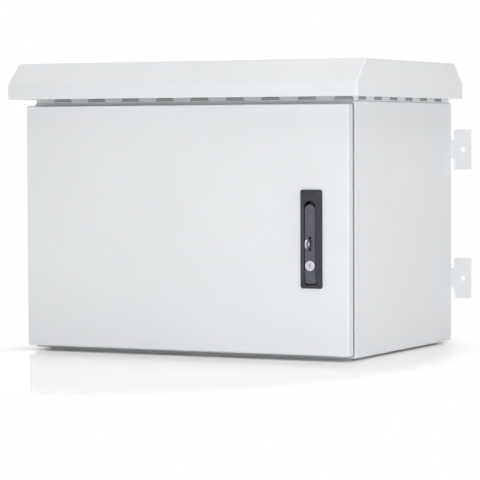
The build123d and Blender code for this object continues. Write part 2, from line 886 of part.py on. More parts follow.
def door_leaf(low_z):
    """Hinge leaf on the door: plate, two arms and two outer knuckles."""
    end_height = (hinge_height - hinge_body_knuckle) / 2 - hinge_break
    skin_y = door_front_y + sheet
    with BuildPart() as leaf:
        with BuildSketch(Plane.XY.offset(low_z)) as foot:
            with Locations((hinge_x - hinge_door_tail, skin_y)):
                Rectangle(
                    hinge_door_arm + hinge_door_tail,
                    hinge_plate,
                    align=(Align.MIN, Align.MIN),
                )
        extrude(foot.sketch, amount=hinge_height)
        for start_z in (low_z, low_z + hinge_height - end_height):
            with BuildSketch(Plane.XY.offset(start_z)) as knuckle:
                with Locations((hinge_x, skin_y)):
                    Rectangle(hinge_web, hinge_y - skin_y, align=(Align.CENTER, Align.MIN))
                with Locations((hinge_x, hinge_y)):
                    Circle(hinge_knuckle)
                    Circle(hinge_pin_radius + running_gap, mode=Mode.SUBTRACT)
            extrude(knuckle.sketch, amount=end_height)
    return leaf.part


# Hinges behind the left edge of the door
for level_name, level in (("upper", 1), ("lower", -1)):
    hinge_low_z = mid_z + level * hinge_spread - hinge_height / 2
    save(frame_leaf(hinge_low_z), f"{level_name}_hinge_frame_leaf")
    save(door_leaf(hinge_low_z), f"{level_name}_hinge_door_leaf")
    with BuildPart() as hinge_pin:
        with Locations((hinge_x, hinge_y, hinge_low_z - hinge_pin_end)):
            Cylinder(
                hinge_pin_radius,
                hinge_height + 2 * hinge_pin_end,
                align=(Align.CENTER, Align.CENTER, Align.MIN),
            )
    save(hinge_pin.part, f"{level_name}_hinge_pin")

# Seal under the handle housing
with BuildPart() as handle_seal:
    with BuildSketch(out_plane(0)):
        with Locations((handle_x, floor_z + handle_rise)):
            RectangleRounded(handle_width - 2 * seal_inset, handle_height - 2 * seal_inset, handle_corner)
        with Locations((handle_x, cut_z)):
            RectangleRounded(cut_width, cut_height, housing_corner, mode=Mode.SUBTRACT)
    extrude(amount=handle_seal_thickness)
save(handle_seal.part, "handle_seal")

# Handle housing: sloped rim on the door with a deep pocket through it
pocket_z = floor_z + (pocket_low + pocket_high) / 2
pocket_height = pocket_high - pocket_low
pin_z = floor_z + lever_pin_rise
lock_z = floor_z + lock_rise
with BuildPart() as handle_housing:
    with BuildSketch(out_plane(handle_seal_thickness)) as pad:
        with Locations((handle_x, floor_z + handle_rise)):
            RectangleRounded(handle_width, handle_height, handle_corner)
    extrude(pad.sketch, amount=handle_rim)
    with BuildSketch(out_plane(handle_seal_thickness + handle_rim)) as rim_low:
        with Locations((handle_x, floor_z + handle_rise)):
            RectangleRounded(handle_width, handle_height, handle_corner)
    with BuildSketch(out_plane(handle_face)) as rim_high:
        with Locations((handle_x, floor_z + (plateau_low + plateau_high) / 2)):
            RectangleRounded(plateau_width, plateau_high - plateau_low, plateau_corner)
    loft([rim_low.sketch.face(), rim_high.sketch.face()])
    with BuildSketch(out_plane(housing_back)) as tub:
        with Locations((handle_x, pocket_z)):
            RectangleRounded(housing_width, housing_high - housing_low, housing_corner)
    extrude(tub.sketch, amount=handle_seal_thickness - housing_back)
    with BuildSketch(out_plane(housing_back)) as boss:
        with Locations((handle_x, pin_z)):
            Circle(boss_radius)
    extrude(boss.sketch, amount=-boss_length)
    # Pocket for the lever
    with BuildSketch(out_plane(pocket_floor)) as pocket:
        with Locations((handle_x, pocket_z)):
            SlotOverall(pocket_height, pocket_width, rotation=90)
        with Locations((handle_x, floor_z + pocket_low + pocket_width / 2)):
            RectangleRounded(pocket_width, pocket_width, pocket_foot_corner)
    extrude(pocket.sketch, amount=handle_face - pocket_floor, mode=Mode.SUBTRACT)
    # Bores for the spindle, the lever pin, the lock tail and the clamp screws
    drill(out_plane(housing_back), [(handle_x, pin_z)], spindle_radius + running_gap, boss_length)
    pin_plane = Plane.YZ.offset(handle_x)
    drill(
        pin_plane,
        [(door_front_y - lever_pin_out, pin_z)],
        lever_pin_radius,
        housing_width,
    )
    tail_front = barrel_back - tail_gap
    with Locations((
        handle_x,
        door_front_y - tail_front - tail_slot_gap,
        lock_z + tail_width / 2 + tail_slot_gap,
    )):
        Box(
            tail_sweep + tail_slot_gap,
            tail_front + tail_slot_gap - pocket_floor,
            tail_drop + tail_width / 2 + 2 * tail_slot_gap,
            align=(Align.MIN, Align.MIN, Align.MAX),
            mode=Mode.SUBTRACT,
        )
    with BuildSketch(out_plane(housing_back)) as screw_seats:
        with Locations(*clamp_spots):
            Circle(screw)
    extrude(screw_seats.sketch, amount=clamp_screw_bite, mode=Mode.SUBTRACT)
save(handle_housing.part, "handle_housing")

# Clamps behind the door that hold the housing, with their screws
clamp_rise = -housing_back - sheet + clamp_sheet
for clamp_name, rise in zip(("handle_clamp_lower", "handle_clamp_upper"), clamp_rises):
    clamp_plane = Plane(
        origin=(handle_x, door_front_y + sheet, floor_z + rise - clamp_width / 2),
        x_dir=(1, 0, 0),
        z_dir=(0, 0, 1),
    )
    clamp_span = housing_width + 2 * clamp_side_gap + 2 * clamp_sheet
    clamp_face = hat_section(clamp_plane, clamp_span, clamp_rise, clamp_foot, clamp_sheet)
    with BuildPart() as clamp:
        extrude(clamp_face, amount=clamp_width)
        drill(out_plane(housing_back), clamp_spots, screw, 2 * clamp_sheet)
    save(clamp.part, clamp_name)
clamp_back_y = door_front_y - housing_back + clamp_sheet
clamp_screw = pan_screw(screw, clamp_sheet + clamp_screw_bite, screw_head, screw_head_height)
save(
    group(clamp_screw, [(x, clamp_back_y, z) for x, z in clamp_spots], (0, -1, 0)),
    "handle_screws",
)

# Padlock eye standing on the pocket floor
eye_tip = handle_face + eye_proud
eye_z = floor_z + eye_rise
with BuildPart() as padlock_eye:
    with BuildSketch(Plane.YZ.offset(handle_x)):
        straight = eye_tip - eye_height / 2 - pocket_floor
        with Locations((door_front_y - pocket_floor, eye_z)):
            Rectangle(straight, eye_height, align=(Align.MAX, Align.CENTER))
        with Locations((door_front_y - eye_tip + eye_height / 2, eye_z)):
            Circle(eye_height / 2)
            Circle(eye_hole_radius, mode=Mode.SUBTRACT)
    extrude(amount=eye_thickness / 2, both=True)
save(padlock_eye.part, "padlock_eye")

# Swing lever: side shape crossed with its front outline
lever_side = [
    (door_front_y - handle_face, floor_z + lever_high),
    (door_front_y - handle_face, floor_z + lever_hub_top),
    (door_front_y - lever_slope_low, floor_z + lever_low),
    (door_front_y - lever_hub_back, floor_z + lever_low),
    (door_front_y - lever_hub_back, floor_z + lever_hub_top),
    (door_front_y - lever_back, floor_z + lever_hub_top),
    (door_front_y - lever_back, floor_z + lever_high),
]
lever_z = floor_z + (lever_low + lever_high) / 2
with BuildPart() as swing_lever:
    with BuildSketch(Plane.YZ.offset(handle_x)) as side_shape:
        Polygon(*lever_side, align=None)
        fillet(side_shape.vertices().group_by(Axis.Y)[0], lever_hub_round)
    extrude(side_shape.sketch, amount=lever_width, both=True)
    with BuildSketch(out_plane(pocket_floor)) as front_shape:
        with Locations((handle_x, lever_z)):
            SlotOverall(lever_high - lever_low, lever_width, rotation=90)
        with Locations((handle_x, floor_z + lever_low + lever_width / 2)):
            RectangleRounded(lever_width, lever_width, lever_foot_corner)
    extrude(front_shape.sketch, amount=handle_face - pocket_floor, mode=Mode.INTERSECT)
    front_face = swing_lever.faces().filter_by(Axis.Y).sort_by(Axis.Y)[0]
    fillet(front_face.edges(), lever_edge)
    drill(out_plane(0), [(handle_x, lock_z)], barrel_radius, handle_height)
    drill(
        Plane.YZ.offset(handle_x),
        [(door_front_y - lever_pin_out, pin_z)],
        lever_pin_radius + running_gap,
        lever_width,
    )
    with BuildSketch(out_plane(pocket_floor)) as eye_slot:
        with Locations((handle_x, eye_z)):
            SlotOverall(eye_slot_height, eye_slot_width, rotation=90)
    extrude(eye_slot.sketch, amount=2 * handle_face - pocket_floor, mode=Mode.SUBTRACT)
save(swing_lever.part, "swing_lever")

with BuildPart() as lever_pin:
    with BuildSketch(Plane.YZ.offset(handle_x)):
        with Locations((door_front_y - lever_pin_out, pin_z)):
            Circle(lever_pin_radius)
    extrude(amount=housing_width / 2, both=True)
save(lever_pin.part, "lever_pin")

# Lock barrel in the lever and the key plug that turns in it
barrel_front = handle_face + barrel_proud
with BuildPart() as lock_barrel:
    with BuildSketch(out_plane(barrel_back)):
        with Locations((handle_x, lock_z)):
            Circle(barrel_radius)
    extrude(amount=barrel_front - barrel_back)
    fillet(lock_barrel.faces().sort_by(Axis.Y)[0].edges(), barrel_edge)
    drill(out_plane(0), [(handle_x, lock_z)], plug_radius + running_gap, handle_height)
save(lock_barrel.part, "lock_barrel")

with BuildPart() as key_plug:
    with BuildSketch(out_plane(tail_front)) as plug_round:
        with Locations((handle_x, lock_z)):
            Circle(plug_radius)
    extrude(plug_round.sketch, amount=barrel_front - tail_front)
    with BuildSketch(out_plane(tail_front)) as tail:
        with Locations((handle_x, lock_z + tail_width / 2)):
            Rectangle(tail_width, tail_reach + tail_width / 2, align=(Align.CENTER, Align.MAX))
    extrude(tail.sketch, amount=-tail_thickness)
    with BuildSketch(out_plane(barrel_front)) as keyway:
        with Locations((handle_x, lock_z)):
            Rectangle(keyway_width, keyway_height)
    extrude(keyway.sketch, amount=-keyway_depth, mode=Mode.SUBTRACT)
save(key_plug.part, "key_plug")

# Latch: spindle in the boss, with tongue, washer and nut behind the frame
tongue_front = door_front_y - (front_y + sheet + tongue_gap)
tongue_back = tongue_front - tongue_thickness
boss_end = housing_back - boss_length
stud_end = tongue_back - tongue_washer_thickness - tongue_nut_height - tongue_stud_end
with BuildPart() as latch_spindle:
    with BuildSketch(out_plane(tongue_front)) as shaft:
        with Locations((handle_x, pin_z)):
            Circle(spindle_radius)
    extrude(shaft.sketch, amount=pocket_floor - spindle_sink - tongue_front)
    with BuildSketch(out_plane(boss_end - spindle_collar_gap)) as shaft_collar:
        with Locations((handle_x, pin_z)):
            Circle(spindle_collar_radius)
    extrude(shaft_collar.sketch, amount=-spindle_collar)
    with BuildSketch(out_plane(tongue_back)) as square_end:
        with Locations((handle_x, pin_z)):
            Rectangle(tongue_square, tongue_square)
    extrude(square_end.sketch, amount=tongue_thickness)
    with BuildSketch(out_plane(stud_end)) as stud:
        with Locations((handle_x, pin_z)):
            Circle(tongue_stud_radius)
    extrude(stud.sketch, amount=tongue_back - stud_end)
save(latch_spindle.part, "latch_spindle")

with BuildPart() as latch_tongue:
    with BuildSketch(out_plane(tongue_back)):
        with Locations((handle_x, pin_z - tongue_reach / 2 + tongue_width / 4)):
            SlotOverall(tongue_reach + tongue_width / 2, tongue_width, rotation=90)
        with Locations((handle_x, pin_z)):
            Rectangle(tongue_square, tongue_square, mode=Mode.SUBTRACT)
    extrude(amount=tongue_thickness)
save(latch_tongue.part, "latch_tongue")

with BuildPart() as tongue_washer:
    with BuildSketch(out_plane(tongue_back)):
        with Locations((handle_x, pin_z)):
            Circle(tongue_washer_radius)
            Circle(tongue_stud_radius, mode=Mode.SUBTRACT)
    extrude(amount=-tongue_washer_thickness)
save(tongue_washer.part, "tongue_washer")

washer_back_y = door_front_y - tongue_back + tongue_washer_thickness
tongue_nut = hex_nut(tongue_nut_flats, tongue_nut_height, tongue_stud_radius)
save(group(tongue_nut, [(handle_x, washer_back_y, pin_z)], (0, 1, 0)), "tongue_nut")
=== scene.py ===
"""Wall-mounted outdoor equipment cabinet: finishes, small details, studio and camera."""
import json
import math

import bmesh
import bpy
from mathutils import Matrix, Vector, noise


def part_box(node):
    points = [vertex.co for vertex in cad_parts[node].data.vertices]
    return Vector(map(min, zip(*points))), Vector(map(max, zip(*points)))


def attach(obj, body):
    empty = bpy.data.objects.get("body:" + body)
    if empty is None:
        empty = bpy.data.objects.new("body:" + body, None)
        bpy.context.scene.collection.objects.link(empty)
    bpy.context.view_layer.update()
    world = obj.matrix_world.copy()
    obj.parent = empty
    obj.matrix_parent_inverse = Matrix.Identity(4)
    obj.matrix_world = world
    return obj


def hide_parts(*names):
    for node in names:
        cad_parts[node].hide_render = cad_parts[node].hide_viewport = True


MM = 0.001

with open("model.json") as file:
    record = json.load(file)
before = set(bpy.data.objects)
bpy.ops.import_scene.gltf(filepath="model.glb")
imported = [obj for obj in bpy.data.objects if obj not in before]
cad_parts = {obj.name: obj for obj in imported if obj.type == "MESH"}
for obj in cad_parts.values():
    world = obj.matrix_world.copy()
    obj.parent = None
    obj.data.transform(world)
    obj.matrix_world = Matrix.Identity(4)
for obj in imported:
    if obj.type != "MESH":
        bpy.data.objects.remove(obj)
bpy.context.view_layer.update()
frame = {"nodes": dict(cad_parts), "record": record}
nodes = frame["nodes"]


def linear(hex_colour):
    """Turn an sRGB hex colour into linear red, green, blue and alpha."""
    channels = [int(hex_colour[i:i + 2], 16) / 255 for i in (1, 3, 5)]
    return [c / 12.92 if c <= 0.04045 else ((c + 0.055) / 1.055) ** 2.4 for c in channels] + [1.0]


def per_size(size_mm):
    """Texture scale that gives a pattern of this size on Object coordinates."""
    return 1 / (size_mm * MM)


def add_node(tree, kind, options=None, values=None, links=None):
    """Add one node, set its options and sockets, and link its inputs."""
    made = tree.nodes.new(kind)
    for name, value in (options or {}).items():
        setattr(made, name, value)
    for name, value in (values or {}).items():
        made.inputs[name].default_value = value
    for name, socket in (links or {}).items():
        tree.links.new(socket, made.inputs[name])
    return made


def new_finish(name):
    """Start a material with an empty tree and its Object coordinates."""
    material = bpy.data.materials.new(name)
    material.use_nodes = True
    tree = material.node_tree
    tree.nodes.clear()
    place = add_node(tree, "ShaderNodeTexCoord").outputs["Object"]
    return material, tree, place


def close_finish(tree, shader):
    """Link the shader to the material's output."""
    add_node(tree, "ShaderNodeOutputMaterial", links={"Surface": shader.outputs["BSDF"]})


# Cosine of the turn between a face and its rounded edge, where the painted edge highlight begins and where
# it is full
highlight_begins = 0.99
highlight_full = 0.80


def edge_share(tree, reach_mm):
    """Nodes that give 1 along outer edges and 0 on flat faces; returns their socket."""
    rounded = add_node(
        tree, "ShaderNodeBevel", options={"samples": 6}, values={"Radius": reach_mm * MM}
    )
    face = add_node(tree, "ShaderNodeNewGeometry")
    turn = add_node(
        tree, "ShaderNodeVectorMath",
        options={"operation": "DOT_PRODUCT"},
        links={0: rounded.outputs["Normal"], 1: face.outputs["Normal"]},
    )
    share = add_node(
        tree, "ShaderNodeMapRange",
        values={"From Min": highlight_begins, "From Max": highlight_full},
        links={"Value": turn.outputs["Value"]},
    )
    return share.outputs["Result"]


def edge_highlight_tone(tree, tone, edge, highlight_hex, most):
    """Blend a finish's colour towards a paler colour along the edges, a painted highlight; returns the
    colour socket.
    """
    amount = add_node(
        tree, "ShaderNodeMapRange", values={"To Max": most}, links={"Value": edge}
    )
    blend = add_node(
        tree, "ShaderNodeMix",
        options={"data_type": "RGBA"},
        links={"Factor": amount.outputs["Result"]},
    )
    colours = [socket for socket in blend.inputs if socket.type == "RGBA"]
    tree.links.new(tone, colours[0])
    colours[1].default_value = linear(highlight_hex)
    return [socket for socket in blend.outputs if socket.type == "RGBA"][0]


def powder_coat():
    """Light grey polyester powder coat on steel: fine orange peel, half-matt sheen, faint unevenness."""
    cloud_size = 220.0
    # Orange peel is about 1 mm; drawn at 1.6 mm so that it shows
    peel_size = 1.6
    peel_depth = 0.15
    bend_reach = 2.5
    material, tree, place = new_finish("powder coated steel, light grey")
    cloud = add_node(
        tree, "ShaderNodeTexNoise",
        values={"Scale": per_size(cloud_size), "Detail": 3.0, "Roughness": 0.55},
        links={"Vector": place},
    )
    tone = add_node(tree, "ShaderNodeValToRGB", links={"Fac": cloud.outputs["Fac"]})
    tone.color_ramp.elements[0].position = 0.3
    tone.color_ramp.elements[0].color = linear("#e1e3e5")
    tone.color_ramp.elements[1].position = 0.7
    tone.color_ramp.elements[1].color = linear("#e5e7e9")
    sheen = add_node(
        tree, "ShaderNodeMapRange",
        values={"To Min": 0.40, "To Max": 0.50},
        links={"Value": cloud.outputs["Fac"]},
    )
    peel = add_node(
        tree, "ShaderNodeTexNoise",
        values={"Scale": per_size(peel_size), "Detail": 2.0, "Roughness": 0.5},
        links={"Vector": place},
    )
    relief = add_node(
        tree, "ShaderNodeBump",
        values={"Strength": 0.12, "Distance": peel_depth * MM},
        links={"Height": peel.outputs["Fac"]},
    )
    # Painted highlight: the coat turns paler along the bends, standing in for the light they catch
    colour = edge_highlight_tone(tree, tone.outputs["Color"], edge_share(tree, bend_reach), "#f6f7f8", 0.7)
    shader = add_node(
        tree, "ShaderNodeBsdfPrincipled",
        values={"IOR": 1.5, "Specular IOR Level": 0.4},
        links={
            "Base Color": colour,
            "Roughness": sheen.outputs["Result"],
            "Normal": relief.outputs["Normal"],
        },
    )
    close_finish(tree, shader)
    return material


def zinc_plate():
    """Galvanised steel sheet: bluish grey metal with soft crystal spangle."""
    spangle_size = 9.0
    zinc_highlight_reach = 0.8
    material, tree, place = new_finish("galvanised steel sheet")
    spangle = add_node(
        tree, "ShaderNodeTexVoronoi",
        values={"Scale": per_size(spangle_size), "Randomness": 1.0},
        links={"Vector": place},
    )
    grey = add_node(tree, "ShaderNodeRGBToBW", links={"Color": spangle.outputs["Color"]})
    tone = add_node(tree, "ShaderNodeValToRGB", links={"Fac": grey.outputs["Val"]})
    tone.color_ramp.elements[0].color = linear("#a9adb0")
    tone.color_ramp.elements[1].color = linear("#c3c7ca")
    sheen = add_node(
        tree, "ShaderNodeMapRange",
        values={"To Min": 0.32, "To Max": 0.46},
        links={"Value": grey.outputs["Val"]},
    )
    # Painted highlight: the metal turns paler along the edges
    colour = edge_highlight_tone(tree, tone.outputs["Color"], edge_share(tree, zinc_highlight_reach), "#dcdedf", 0.5)
    shader = add_node(
        tree, "ShaderNodeBsdfPrincipled",
        values={"Metallic": 1.0},
        links={"Base Color": colour, "Roughness": sheen.outputs["Result"]},
    )
    close_finish(tree, shader)
    return material


def bright_zinc():
    """Bright zinc plating on screws and pins: pale metal with slight handling marks."""
    mark_size = 2.5
    material, tree, place = new_finish("bright zinc plated fixings")
    marks = add_node(
        tree, "ShaderNodeTexNoise",
        values={"Scale": per_size(mark_size), "Detail": 4.0},
        links={"Vector": place},
    )
    tone = add_node(tree, "ShaderNodeValToRGB", links={"Fac": marks.outputs["Fac"]})
    tone.color_ramp.elements[0].color = linear("#b4b6b6")
    tone.color_ramp.elements[1].color = linear("#d2d3d1")
    sheen = add_node(
        tree, "ShaderNodeMapRange",
        values={"To Min": 0.22, "To Max": 0.38},
        links={"Value": marks.outputs["Fac"]},
    )
    shader = add_node(
        tree, "ShaderNodeBsdfPrincipled",
        values={"Metallic": 1.0},
        links={"Base Color": tone.outputs["Color"], "Roughness": sheen.outputs["Result"]},
    )
    close_finish(tree, shader)
    return material


def black_polyamide(name, dark, light):
    """Glass-filled polyamide, moulded: charcoal black with a fine spark-eroded grain."""
    cloud_size = 14.0
    # The eroded grain is about 0.2 mm; drawn at 0.7 mm so that it shows
    grain_size = 0.7
    grain_depth = 0.1
    moulding_highlight_reach = 0.8
    material, tree, place = new_finish(name)
    cloud = add_node(
        tree, "ShaderNodeTexNoise",
        values={"Scale": per_size(cloud_size), "Detail": 4.0, "Roughness": 0.6},
        links={"Vector": place},
    )
    tone = add_node(tree, "ShaderNodeValToRGB", links={"Fac": cloud.outputs["Fac"]})
    tone.color_ramp.elements[0].position = 0.25
    tone.color_ramp.elements[0].color = linear(dark)
    tone.color_ramp.elements[1].position = 0.75
    tone.color_ramp.elements[1].color = linear(light)
    sheen = add_node(
        tree, "ShaderNodeMapRange",
        values={"To Min": 0.38, "To Max": 0.50},
        links={"Value": cloud.outputs["Fac"]},
    )
    grain = add_node(
        tree, "ShaderNodeTexNoise",
        values={"Scale": per_size(grain_size), "Detail": 2.0},
        links={"Vector": place},
    )
    relief = add_node(
        tree, "ShaderNodeBump",
        values={"Strength": 0.25, "Distance": grain_depth * MM},
        links={"Height": grain.outputs["Fac"]},
    )
    # Painted highlight: the moulding turns paler along the edges
    colour = edge_highlight_tone(tree, tone.outputs["Color"], edge_share(tree, moulding_highlight_reach), "#85868c", 0.35)
    shader = add_node(
        tree, "ShaderNodeBsdfPrincipled",
        values={"IOR": 1.53, "Specular IOR Level": 0.36},
        links={
            "Base Color": colour,
            "Roughness": sheen.outputs["Result"],
            "Normal": relief.outputs["Normal"],
        },
    )
    close_finish(tree, shader)
    return material


def turned_nickel():
    """Nickel-plated die casting: bright satin metal with faint turning rings round the lock's axis."""
    ring_size = 3.0
    material, tree, place = new_finish("nickel plated zinc casting")
    low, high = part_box("lock_barrel")
    centre = [(a + b) / 2 for a, b in zip(low, high)]
    shifted = add_node(
        tree, "ShaderNodeMapping",
        options={"vector_type": "POINT"},
        values={"Location": [-c for c in centre]},
        links={"Vector": place},
    )
    rings = add_node(
        tree, "ShaderNodeTexWave",
        options={"wave_type": "RINGS", "rings_direction": "Y"},
        values={"Scale": per_size(ring_size), "Distortion": 0.6, "Detail": 2.0},
        links={"Vector": shifted.outputs["Vector"]},
    )
    sheen = add_node(
        tree, "ShaderNodeMapRange",
        values={"To Min": 0.20, "To Max": 0.32},
        links={"Value": rings.outputs["Fac"]},
    )
    tone = add_node(tree, "ShaderNodeValToRGB", links={"Fac": rings.outputs["Fac"]})
    tone.color_ramp.elements[0].color = linear("#c4c5cc")
    tone.color_ramp.elements[1].color = linear("#d8d9df")
    shader = add_node(
        tree, "ShaderNodeBsdfPrincipled",
        values={"Metallic": 1.0},
        links={"Base Color": tone.outputs["Color"], "Roughness": sheen.outputs["Result"]},
    )
    close_finish(tree, shader)
    return material


def foam_rubber():
    """Foamed polyurethane and rubber seals: near-black skin with fine closed pores."""
    pore_size = 1.8
    pore_depth = 0.3
    material, tree, place = new_finish("foamed rubber seal")
    pores = add_node(
        tree, "ShaderNodeTexVoronoi",
        values={"Scale": per_size(pore_size), "Randomness": 1.0},
        links={"Vector": place},
    )
    tone = add_node(tree, "ShaderNodeValToRGB", links={"Fac": pores.outputs["Distance"]})
    tone.color_ramp.elements[0].color = linear("#19191a")
    tone.color_ramp.elements[1].color = linear("#2c2c2d")
    relief = add_node(
        tree, "ShaderNodeBump",
        values={"Strength": 0.4, "Distance": pore_depth * MM},
        links={"Height": pores.outputs["Distance"]},
    )
    shader = add_node(
        tree, "ShaderNodeBsdfPrincipled",
        values={"Roughness": 0.8, "IOR": 1.5},
        links={"Base Color": tone.outputs["Color"], "Normal": relief.outputs["Normal"]},
    )
    close_finish(tree, shader)
    return material


def filter_fibre():
    """Polyester filter fleece: off-white tangled fibres with a soft matt look."""
    fibre_size = 3.5
    fibre_depth = 1.0
    material, tree, place = new_finish("polyester filter fleece")
    fibres = add_node(
        tree, "ShaderNodeTexNoise",
        values={"Scale": per_size(fibre_size), "Detail": 6.0, "Roughness": 0.7, "Distortion": 2.0},
        links={"Vector": place},
    )
    tone = add_node(tree, "ShaderNodeValToRGB", links={"Fac": fibres.outputs["Fac"]})
    tone.color_ramp.elements[0].color = linear("#b9b8b0")
    tone.color_ramp.elements[1].color = linear("#efeee8")
    relief = add_node(
        tree, "ShaderNodeBump",
        values={"Strength": 0.8, "Distance": fibre_depth * MM},
        links={"Height": fibres.outputs["Fac"]},
    )
    shader = add_node(
        tree, "ShaderNodeBsdfPrincipled",
        values={"Roughness": 0.95},
        links={"Base Color": tone.outputs["Color"], "Normal": relief.outputs["Normal"]},
    )
    close_finish(tree, shader)
    return material


def wire_cloth():
    """Woven stainless wire cloth: round pale wires with grey meshes between them."""
    # Meshes are about 1 mm; drawn at 2 mm so that they show
    mesh_size = 2.0
    wire_depth = 0.3
    material, tree, place = new_finish("woven stainless wire cloth")
    axes = add_node(tree, "ShaderNodeSeparateXYZ", links={"Vector": place})
    along = add_node(
        tree, "ShaderNodeMath",
        links={0: axes.outputs["X"], 1: axes.outputs["Y"]},
    )
    wires = []
    for run in (along.outputs["Value"], axes.outputs["Z"]):
        turns = add_node(
            tree, "ShaderNodeMath",
            options={"operation": "MULTIPLY"},
            values={1: 2 * math.pi * per_size(mesh_size)},
            links={0: run},
        )
        wire = add_node(
            tree, "ShaderNodeMath", options={"operation": "SINE"}, links={0: turns.outputs["Value"]}
        )
        wires.append(wire)
    weave = add_node(
        tree, "ShaderNodeMath",
        options={"operation": "MAXIMUM"},
        links={0: wires[0].outputs["Value"], 1: wires[1].outputs["Value"]},
    )
    tone = add_node(tree, "ShaderNodeValToRGB", links={"Fac": weave.outputs["Value"]})
    tone.color_ramp.elements[0].position = 0.2
    tone.color_ramp.elements[0].color = linear("#76797b")
    tone.color_ramp.elements[1].position = 0.8
    tone.color_ramp.elements[1].color = linear("#c9cccd")
    relief = add_node(
        tree, "ShaderNodeBump",
        values={"Strength": 0.6, "Distance": wire_depth * MM},
        links={"Height": weave.outputs["Value"]},
    )
    shader = add_node(
        tree, "ShaderNodeBsdfPrincipled",
        values={"Metallic": 0.4, "Roughness": 0.5},
        links={"Base Color": tone.outputs["Color"], "Normal": relief.outputs["Normal"]},
    )
    close_finish(tree, shader)
    return material


def recess_shade_finish():
    """Painted shade for the bottom of a tool socket and the key slot: dark, slightly mottled metal colour.
    """
    mottle_size = 1.2
    material, tree, place = new_finish("painted socket shade")
    mottle = add_node(
        tree, "ShaderNodeTexNoise",
        values={"Scale": per_size(mottle_size), "Detail": 3.0},
        links={"Vector": place},
    )
    tone = add_node(tree, "ShaderNodeValToRGB", links={"Fac": mottle.outputs["Fac"]})
    tone.color_ramp.elements[0].color = linear("#141415")
    tone.color_ramp.elements[1].color = linear("#2a2a2b")
    sheen = add_node(
        tree, "ShaderNodeMapRange",
        values={"To Min": 0.45, "To Max": 0.65},
        links={"Value": mottle.outputs["Fac"]},
    )
    shader = add_node(
        tree, "ShaderNodeBsdfPrincipled",
        values={"Metallic": 0.7},
        links={"Base Color": tone.outputs["Color"], "Roughness": sheen.outputs["Result"]},
    )
    close_finish(tree, shader)
    return material


# Finishes by material slot
finishes = {
    "cabinet_paint": powder_coat(),
    "zinc_steel": zinc_plate(),
    "fixings": bright_zinc(),
    "handle_black": black_polyamide("glass filled polyamide, black", "#292a31", "#313239"),
    "lock_metal": turned_nickel(),
    "seal_rubber": foam_rubber(),
    "filter_fibre": filter_fibre(),
}
for entry in frame["record"]["subparts"]:
    mesh = nodes[entry["node"]].data
    mesh.materials.clear()
    mesh.materials.append(finishes[entry["material_slot"]])

# The lever is moulded in a paler grade than its housing
lever_mesh = nodes["swing_lever"].data
lever_mesh.materials.clear()
lever_mesh.materials.append(black_polyamide("glass filled polyamide, charcoal", "#4c4d57", "#555661"))

# Painted shade: dark colour at the bottom of sockets and in the key slot
painted_socket_shade = recess_shade_finish()


def add_piece(name, shape, body, slot, finish=None):
    """Turn a finished bmesh into a piece that moves with a body."""
    bmesh.ops.recalc_face_normals(shape, faces=shape.faces)
    mesh = bpy.data.meshes.new(name)
    shape.to_mesh(mesh)
    shape.free()
    mesh.materials.append(finish or finishes[slot])
    piece = bpy.data.objects.new(name, mesh)
    bpy.context.scene.collection.objects.link(piece)
    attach(piece, body)
    return piece


def flat_panel(low, high, normal_axis):
    """One rectangular face that fills a box's middle, square to one axis."""
    shape = bmesh.new()
    bmesh.ops.create_grid(shape, x_segments=1, y_segments=1, size=0.5)
    wide, deep = [i for i in range(3) if i != normal_axis]
    for vert in shape.verts:
        share_wide, share_deep = vert.co.x, vert.co.y
        vert.co = [(a + b) / 2 for a, b in zip(low, high)]
        vert.co[wide] += share_wide * (high[wide] - low[wide])
        vert.co[deep] += share_deep * (high[deep] - low[deep])
    return shape


# Foamed bead that seals the door against the frame's lip
bead_width = 12.0
bead_corner = 15.0
bead_round = 4.5
# A face whose normal leans less than this towards the frame is a side of the bead
bead_side_lean = 0.5


def door_bead():
    """Closed foam ring, rounded towards the frame and at its corners."""
    low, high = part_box("door_gasket")
    shape = flat_panel(low, high, 1)
    bmesh.ops.translate(shape, verts=shape.verts, vec=(0, (low[1] - high[1]) / 2, 0))
    bmesh.ops.bevel(
        shape, geom=shape.verts[:], offset=bead_corner * MM, offset_type="OFFSET", segments=6,
        profile=0.5, affect="VERTICES", material=-1,
    )
    shape.normal_update()
    bmesh.ops.inset_individual(
        shape, faces=shape.faces[:], thickness=bead_width * MM, use_even_offset=True
    )
    middle = max(shape.faces, key=lambda face: face.calc_area())
    bmesh.ops.delete(shape, geom=[middle], context="FACES")
    raised = bmesh.ops.extrude_face_region(shape, geom=shape.faces[:])["geom"]
    tops = [item for item in raised if isinstance(item, bmesh.types.BMVert)]
    bmesh.ops.translate(shape, verts=tops, vec=(0, high[1] - low[1], 0))
    bmesh.ops.recalc_face_normals(shape, faces=shape.faces)
    shape.normal_update()
    crest = (low[1] + high[1]) / 2
    sides = {face for face in shape.faces if abs(face.normal.y) < bead_side_lean}
    rim = [
        edge for edge in shape.edges
        if all(vert.co.y > crest for vert in edge.verts) and sides.intersection(edge.link_faces)
    ]
    bmesh.ops.bevel(
        shape, geom=rim, offset=bead_round * MM, offset_type="OFFSET", segments=5,
        profile=0.5, affect="EDGES", material=-1,
    )
    piece = add_piece("door_foam_bead", shape, "door", "seal_rubber")
    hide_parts("door_gasket")
    for polygon in piece.data.polygons:
        polygon.use_smooth = True


# Loose fleece under the canopy
fleece_cell = 5.0
fleece_waviness = 1.2
fleece_wave = 14.0
fleece_edge_drop = 3.0
fleece_edge_reach = 7.0


